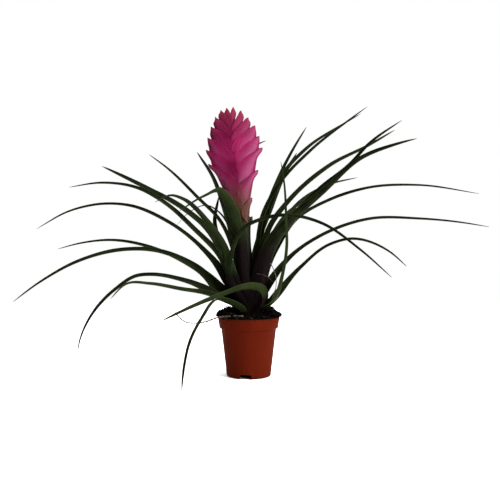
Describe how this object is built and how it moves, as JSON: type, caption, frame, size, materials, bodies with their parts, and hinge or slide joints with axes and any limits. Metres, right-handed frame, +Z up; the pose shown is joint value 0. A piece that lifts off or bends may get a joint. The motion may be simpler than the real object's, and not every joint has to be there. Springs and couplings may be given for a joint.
{
  "type": "potted bromeliad",
  "caption": "Bromeliad with arching grassy leaves and a flat paddle of overlapping bracts, growing in a small round nursery pot.",
  "frame": {"origin": "middle of the circle that the pot stands on, at the ground", "axes": "+Z up, +X along the plant's widest spread and across the face of the flower spike, -Y towards the side that the spike shows its flat face"},
  "size_m": [0.539, 0.216, 0.308],
  "materials": {
    "pot_plastic": "matte",
    "peat": "matte",
    "leaf": "satin",
    "stalk": "satin",
    "bract": "satin",
    "dry_leaf": "matte"
  },
  "bodies": {
    "root": {"bract_left_01": "bract", "bract_left_02": "bract", "bract_left_03": "bract", "bract_left_04": "bract", "bract_left_05": "bract", "bract_left_06": "bract", "bract_left_07": "bract", "bract_right_01": "bract", "bract_right_02": "bract", "bract_right_03": "bract", "bract_right_04": "bract", "bract_right_05": "bract", "bract_right_06": "bract", "bract_right_07": "bract", "dry_strand": "dry_leaf", "flower_stalk": "stalk", "leaf_back_01": "leaf", "leaf_back_02": "leaf", "leaf_back_03": "leaf", "leaf_back_04": "leaf", "leaf_back_05": "leaf", "leaf_back_06": "leaf", "leaf_back_07": "leaf", "leaf_front_01": "leaf", "leaf_front_02": "leaf", "leaf_front_03": "leaf", "leaf_front_04": "leaf", "leaf_front_05": "leaf", "leaf_left_01": "leaf", "leaf_left_02": "leaf", "leaf_left_03": "leaf", "leaf_left_04": "leaf", "leaf_left_05": "leaf", "leaf_left_06": "leaf", "leaf_left_07": "leaf", "leaf_left_08": "leaf", "leaf_left_09": "leaf", "leaf_left_10": "leaf", "leaf_right_01": "leaf", "leaf_right_02": "leaf", "leaf_right_03": "leaf", "leaf_right_04": "leaf", "leaf_right_05": "leaf", "leaf_right_06": "leaf", "leaf_right_07": "leaf", "leaf_right_08": "leaf", "leaf_right_09": "leaf", "leaf_right_10": "leaf", "pot": "pot_plastic", "potting_soil": "peat", "spike_bud": "bract", "stem": "stalk"}
  },
  "joints": []
}
